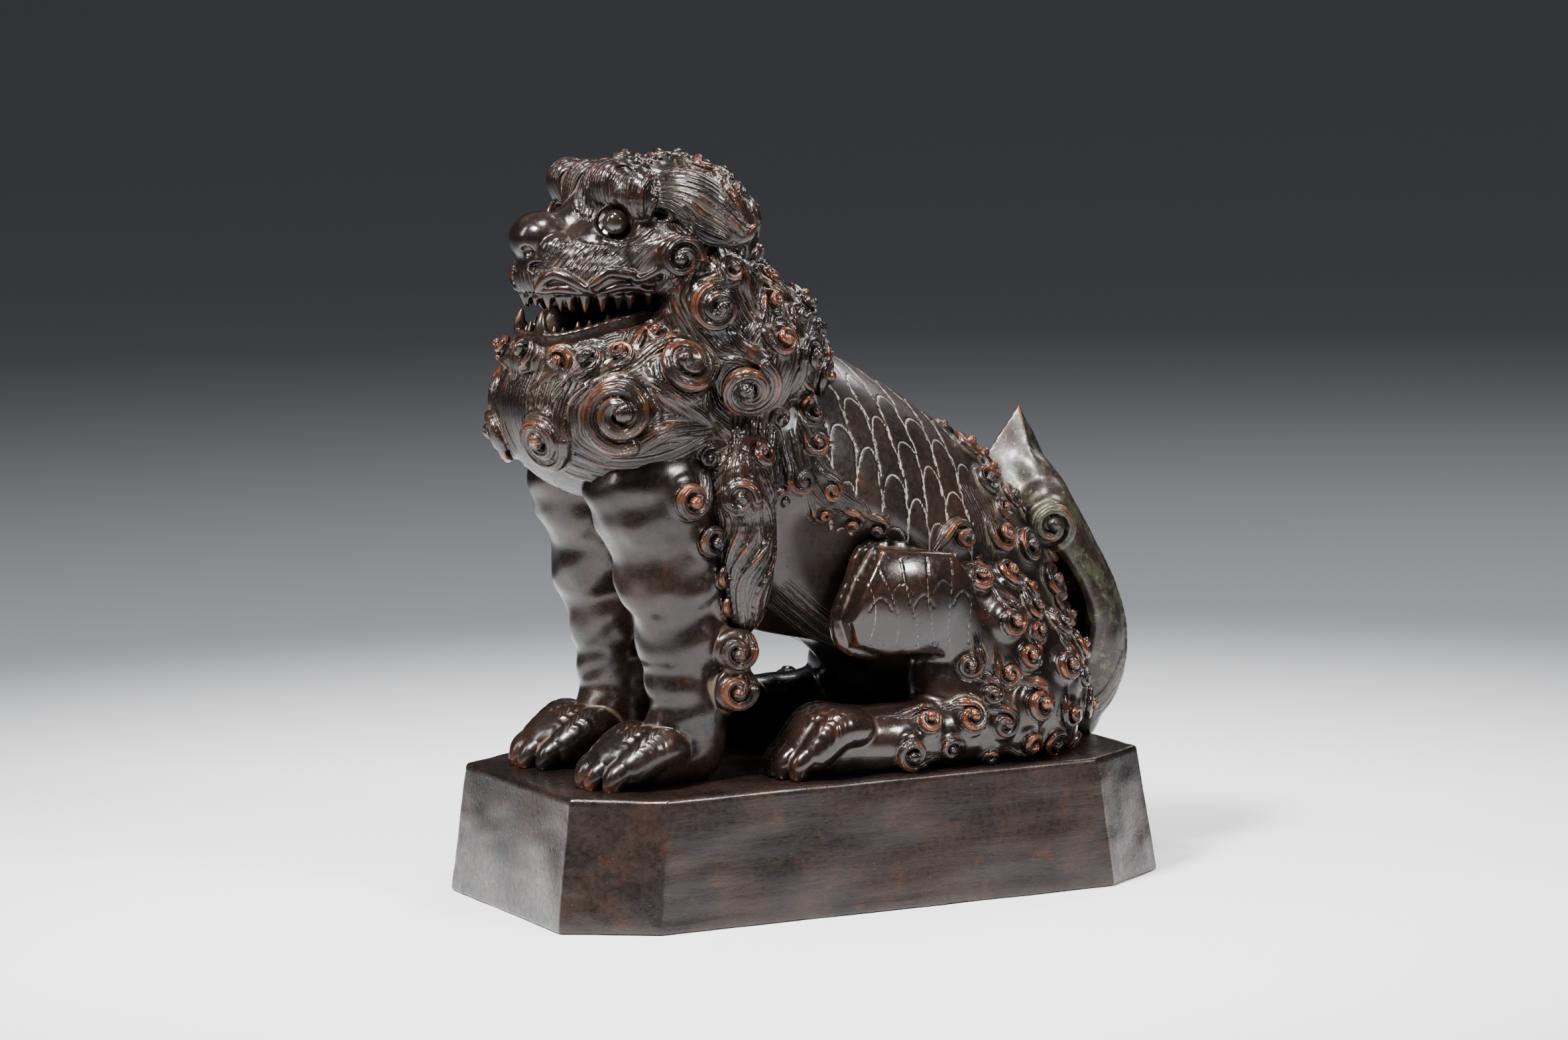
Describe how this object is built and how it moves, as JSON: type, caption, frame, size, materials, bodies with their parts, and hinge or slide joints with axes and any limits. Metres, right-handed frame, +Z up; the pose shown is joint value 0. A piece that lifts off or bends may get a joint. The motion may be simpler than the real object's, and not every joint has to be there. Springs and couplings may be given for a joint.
{
  "type": "foo dog statue",
  "caption": "Seated guardian lion in dark cast bronze on a hollow chamfered plinth, with curled mane, flame tail, open jaws and a loose ball in the mouth.",
  "frame": {"origin": "middle of the object's bounding box in plan, at the plane the plinth stands on", "axes": "+Z up, the lion faces -Y, its left side is +X"},
  "size_m": [0.148, 0.2623, 0.2812],
  "materials": {
    "bronze": "dark chocolate-brown patinated bronze, waxed and rubbed to copper red on the high points",
    "plinth_bronze": "dark brown patinated bronze with fine brush marks and dust on top",
    "tail_bronze": "brown patinated bronze with pale grey-green patches",
    "mouth_ball": "smooth polished dark bronze ball",
    "eye_bead": "glossy black bead",
    "fixings": "turned brass, unpolished"
  },
  "bodies": {
    "lion": {"torso": "bronze", "mane": "bronze", "head": "bronze", "lower_jaw": "bronze", "plinth": "plinth_bronze", "tail": "tail_bronze", "eye_left": "eye_bead", "eye_right": "eye_bead", "foreleg_left": "bronze", "foreleg_right": "bronze", "hindleg_left": "bronze", "hindleg_right": "bronze", "tail_cotter": "fixings", "head_rivet_left": "fixings", "head_rivet_right": "fixings", "mane_rivet_left": "fixings", "mane_rivet_right": "fixings", "screw_fore_left": "fixings", "washer_fore_left": "fixings", "screw_fore_right": "fixings", "washer_fore_right": "fixings", "screw_hind_left": "fixings", "washer_hind_left": "fixings", "screw_hind_right": "fixings", "washer_hind_right": "fixings"},
    "pearl": {"pearl": "mouth_ball"}
  },
  "joints": [
    {"name": "pearl_roll", "type": "slide", "parent": "lion", "child": "pearl", "axis": [0, 1, 0], "range_m": [0, 0.014]}
  ]
}
